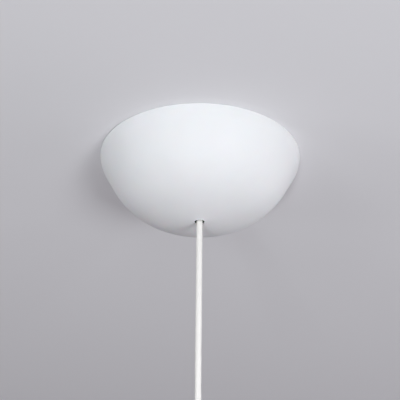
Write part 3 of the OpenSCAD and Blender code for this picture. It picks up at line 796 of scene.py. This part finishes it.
def make_inner_cores():
    """The three cores from the sheath up and over to the terminals, and the earth link."""
    housing_low, housing_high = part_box("terminal_housing")
    places = []
    rows = [
        ("live_terminal", "brown_lead", "core_brown", "brown_core"),
        ("earth_terminal", "earth_lead", "core_earth", "earth_core"),
        ("neutral_terminal", "blue_lead", "core_blue", "blue_core"),
    ]
    for i, (terminal, name, finish, node) in enumerate(rows):
        at = middle(terminal)
        end = Vector((at.x, housing_high.y - TERMINAL_SETBACK, at.z))
        start = Vector(CORD_ROUTE[0]) + CORE_CIRCLE_R * core_way(i)
        bm = bmesh.new()
        swept(
            bm, bezier(start, start + Vector((0, 0, CORE_LIFT)),
                       end + Vector((0, CORE_LEAD, 0)), end), Vector((1, 0, 0)),
        )
        piece_from(bm, name, finish, "ceiling_mount", node)
        places.append(Matrix.Translation(end) @ Matrix.Rotation(-math.pi / 2, 4, "X"))
    make_ferrules("block_ferrules", places, "core_ferrules")

    screw = middle("earth_screw")
    lug_mouth = Vector((screw.x, screw.y, -LUG_WIRE_D)) + LUG_WIRE_AT * LUG_WAY
    pole = middle("earth_terminal")
    pole_mouth = Vector((pole.x, housing_low.y + TERMINAL_SETBACK, pole.z))
    bm = bmesh.new()
    swept(
        bm, bezier(pole_mouth, pole_mouth - Vector((0, LINK_LEAD, 0)),
                   lug_mouth + LINK_LEAD * LUG_WAY, lug_mouth), Vector((0, 0, 1)),
    )
    piece_from(bm, "bonding_lead", "core_earth", "ceiling_mount", "earth_link")


make_inner_cores()


# Rivets and the threaded grip

def make_strap_rivets():
    """Four domed rivets, their tails formed on the far side of the plate."""
    low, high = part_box("bridge_rivets")
    x, y = high.x - RIVET_HEAD_R, high.y - RIVET_HEAD_R
    head = -low.z - RIVET_HEAD_H
    tail = -high.z + RIVET_HEAD_H / 2
    skirt = RIVET_HEAD_H / 4
    dome = [
        (RIVET_HEAD_R * math.cos(a), head + skirt + (RIVET_HEAD_H - skirt) * math.sin(a))
        for a in [math.pi / 2 * i / RIVET_DOME_STEPS for i in range(RIVET_DOME_STEPS)]
    ]
    formed = [(0, -high.z), (RIVET_R, -high.z), (RIVET_HEAD_R * RIVET_TAIL_SHARE, tail - skirt)]
    section = (
        formed + [(RIVET_HEAD_R, tail), (RIVET_R, tail), (RIVET_R, head), (RIVET_HEAD_R, head)]
        + dome + [(0, -low.z)]
    )
    bm = bmesh.new()
    for side in (-x, x):
        for along in (-y, y):
            turned(bm, section, RIVET_TURN_STEPS, Matrix.Translation((side, along, 0)))
    piece_from(bm, "strap_rivets", "zinc_steel", "ceiling_mount", "bridge_rivets")


def make_grip_body():
    """The threaded body of the cord grip: its shanks are narrowed to the thread's root."""
    bm = packed_copy("gland_body")
    for v in bm.verts:
        radius = math.hypot(v.co.x, v.co.y)
        for shank_r in (SHANK_R, NUT_END_R):
            if abs(radius - shank_r) < SAME_RADIUS:
                scale = (shank_r - THREAD_DEPTH) / radius
                v.co.x *= scale
                v.co.y *= scale
    break_edges(bm, MOULDED_EDGE)
    add_thread(bm, SHANK_R, *SHANK_THREAD)
    add_thread(bm, NUT_END_R, *NUT_END_THREAD)
    even_shading(piece_from(bm, "grip_body", "grip_nylon", "ceiling_mount", "gland_body"))


make_strap_rivets()
make_grip_body()


# The cup's rubber bush and snap ring

def make_cord_bush():
    """The rubber bush, with the nose that fills the funnel behind the cord hole's thin edge; its
    near-black rubber in the gap round the cord is painted shade, put where the shade inside the cup
    would be.
    """
    floor = CUP_H - FLOOR_T
    flat = NOSE_R - NOSE_L
    bm = packed_copy("cord_grip_bush")
    break_edges(bm, MOULDED_EDGE)
    turned(bm, [
        (NOSE_BORE, floor - NOSE_L), (NOSE_R, floor - NOSE_EDGE), (NOSE_R, floor),
        (flat + NOSE_EDGE / 2, floor + NOSE_L - NOSE_EDGE / 2),
        (flat - NOSE_EDGE / 2, floor + NOSE_L), (NOSE_BORE + NOSE_EDGE, floor + NOSE_L),
        (NOSE_BORE, floor + NOSE_L - NOSE_EDGE),
    ])
    even_shading(piece_from(bm, "cord_bush", "bush_rubber", "cord_grip", "cord_grip_bush"))


def make_snap_ring():
    """The ring that keeps the bush in its pocket, with the lugs that click into the boss."""
    low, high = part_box("bush_retainer")
    top, foot = -high.z, -low.z
    hole, rim = RING_HOLE_R + RING_EDGE, RING_R - RING_EDGE
    bm = bmesh.new()
    turned(bm, [
        (RING_HOLE_R, foot - RING_EDGE), (RING_HOLE_R, top + RING_EDGE), (hole, top), (rim, top),
        (RING_R, top + RING_EDGE), (RING_R, foot - RING_EDGE), (rim, foot), (hole, foot),
    ])
    height = foot - top - RING_EDGE
    for i in range(LUGS):
        place = (
            Matrix.Rotation(lug_angle(i), 4, "Z")
            @ Matrix.Translation((RING_R, 0, -(top + foot) / 2))
            @ Matrix.Diagonal((RING_LUG_L, RING_LUG_W, height, 1))
        )
        made = bmesh.ops.create_cube(bm, size=1, matrix=place)["verts"]
        bmesh.ops.bevel(
            bm, geom=edges_of(made), offset=RING_EDGE, offset_type="OFFSET", affect="EDGES",
            segments=2, profile=0.5, material=-1,
        )
    even_shading(piece_from(bm, "snap_ring", "grip_nylon", "ceiling_cup", "bush_retainer"))


make_cord_bush()
make_snap_ring()


# Pieces that keep their packed form and get broken edges: name, node, finish, body and edge
EDGED = [
    ("pressed_plate", "ceiling_plate", "zinc_steel", "ceiling_mount", 0.00025),
    ("entry_grommet", "supply_grommet", "bush_rubber", "ceiling_mount", 0.0003),
    ("bent_strap", "cord_bridge", "zinc_steel", "ceiling_mount", 0.00025),
    ("grip_locknut", "gland_locknut", "grip_nylon", "ceiling_mount", 0.00025),
    ("grip_nut", "gland_nut", "grip_nylon", "ceiling_mount", 0.0003),
    ("block_housing", "terminal_housing", "housing_plastic", "ceiling_mount", 0.00025),
    ("live_barrel", "live_terminal", "terminal_brass", "ceiling_mount", 0.0002),
    ("earth_barrel", "earth_terminal", "terminal_brass", "ceiling_mount", 0.0002),
    ("neutral_barrel", "neutral_terminal", "terminal_brass", "ceiling_mount", 0.0002),
    ("clamp_screws", "terminal_screws", "zinc_steel", "ceiling_mount", 0.0001),
    ("block_screws", "housing_screws", "zinc_steel", "ceiling_mount", 0.00012),
    ("bonding_screw", "earth_screw", "terminal_brass", "ceiling_mount", 0.00015),
    ("bonding_washer", "earth_washer", "zinc_steel", "ceiling_mount", 0.00012),
    ("bonding_lug", "earth_lug", "tinned_copper", "ceiling_mount", 0.0001),
]
for name, node, finish, body, width in EDGED:
    bm = packed_copy(node)
    break_edges(bm, width)
    even_shading(piece_from(bm, name, finish, body, node))

# The rubber sleeve inside the cord grip is right as packed
sleeve_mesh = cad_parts["gland_sleeve"].data
sleeve_mesh.materials.clear()
sleeve_mesh.materials.append(FINISHES["bush_rubber"])


# Stage and light

def make_ceiling():
    """A plain pale ceiling that is seen from below and is clear from above."""
    bm = bmesh.new()
    bmesh.ops.create_grid(bm, x_segments=1, y_segments=1, size=CEILING_HALF_WIDTH)
    bmesh.ops.reverse_faces(bm, faces=bm.faces)
    bmesh.ops.translate(bm, verts=bm.verts, vec=(0, 0, CEILING_GAP))
    mesh = bpy.data.meshes.new("ceiling")
    bm.to_mesh(mesh)
    bm.free()
    finish = Finish("ceiling_paint", Roughness=0.9, Specular_IOR_Level=0.2)
    finish.shader.inputs["Base Color"].default_value = (*CEILING_TINT, 1)
    tree = finish.tree
    clear = tree.nodes.new("ShaderNodeBsdfTransparent")
    mix = tree.nodes.new("ShaderNodeMixShader")
    side = tree.nodes.new("ShaderNodeNewGeometry").outputs["Backfacing"]
    shadow = tree.nodes.new("ShaderNodeLightPath").outputs["Is Shadow Ray"]
    tree.links.new(math_node(tree, "MAXIMUM", side, shadow), mix.inputs[0])
    tree.links.new(finish.shader.outputs[0], mix.inputs[1])
    tree.links.new(clear.outputs[0], mix.inputs[2])
    tree.links.new(mix.outputs[0], tree.nodes["Material Output"].inputs["Surface"])
    mesh.materials.append(finish.material)
    ceiling = bpy.data.objects.new("ceiling", mesh)
    bpy.context.scene.collection.objects.link(ceiling)


def add_light(name, at, size, power, colour):
    """One soft light that faces the rose."""
    data = bpy.data.lights.new(name, "AREA")
    data.shape = "RECTANGLE"
    data.size, data.size_y = size
    data.energy = power
    data.color = colour
    light = bpy.data.objects.new(name, data)
    light.location = at
    light.rotation_euler = (Vector(LIGHT_TARGET) - Vector(at)).to_track_quat("-Z", "Y").to_euler()
    light.visible_camera = False
    bpy.context.scene.collection.objects.link(light)


def make_world():
    """A faint glow from the floor's side, and the plain colour that is seen behind the object."""
    world = bpy.data.worlds.new("room")
    world.use_nodes = True
    tree = world.node_tree
    place = tree.nodes.new("ShaderNodeTexCoord").outputs["Generated"]
    apart = tree.nodes.new("ShaderNodeSeparateXYZ")
    tree.links.new(place, apart.inputs[0])
    height = tree.nodes.new("ShaderNodeMapRange")
    socket_values(height, {"From Min": -1.0, "From Max": 0.0, "To Min": 1.0, "To Max": 0.0})
    tree.links.new(apart.outputs["Z"], height.inputs["Value"])
    glow = tree.nodes.new("ShaderNodeMix")
    seen = tree.nodes.new("ShaderNodeMix")
    for mix in (glow, seen):
        mix.data_type = "RGBA"
    glow.inputs["A"].default_value = (0, 0, 0, 1)
    glow.inputs["B"].default_value = (*ROOM_GLOW, 1)
    seen.inputs["B"].default_value = (*BACKDROP, 1)
    tree.links.new(height.outputs["Result"], glow.inputs["Factor"])
    tree.links.new(glow.outputs["Result"], seen.inputs["A"])
    tree.links.new(
        tree.nodes.new("ShaderNodeLightPath").outputs["Is Camera Ray"], seen.inputs["Factor"]
    )
    tree.links.new(seen.outputs["Result"], tree.nodes["Background"].inputs["Color"])
    bpy.context.scene.world = world


make_ceiling()
make_world()
for light in SOFT_LIGHTS:
    add_light(*light)
bpy.context.scene.view_settings.view_transform = "Standard"
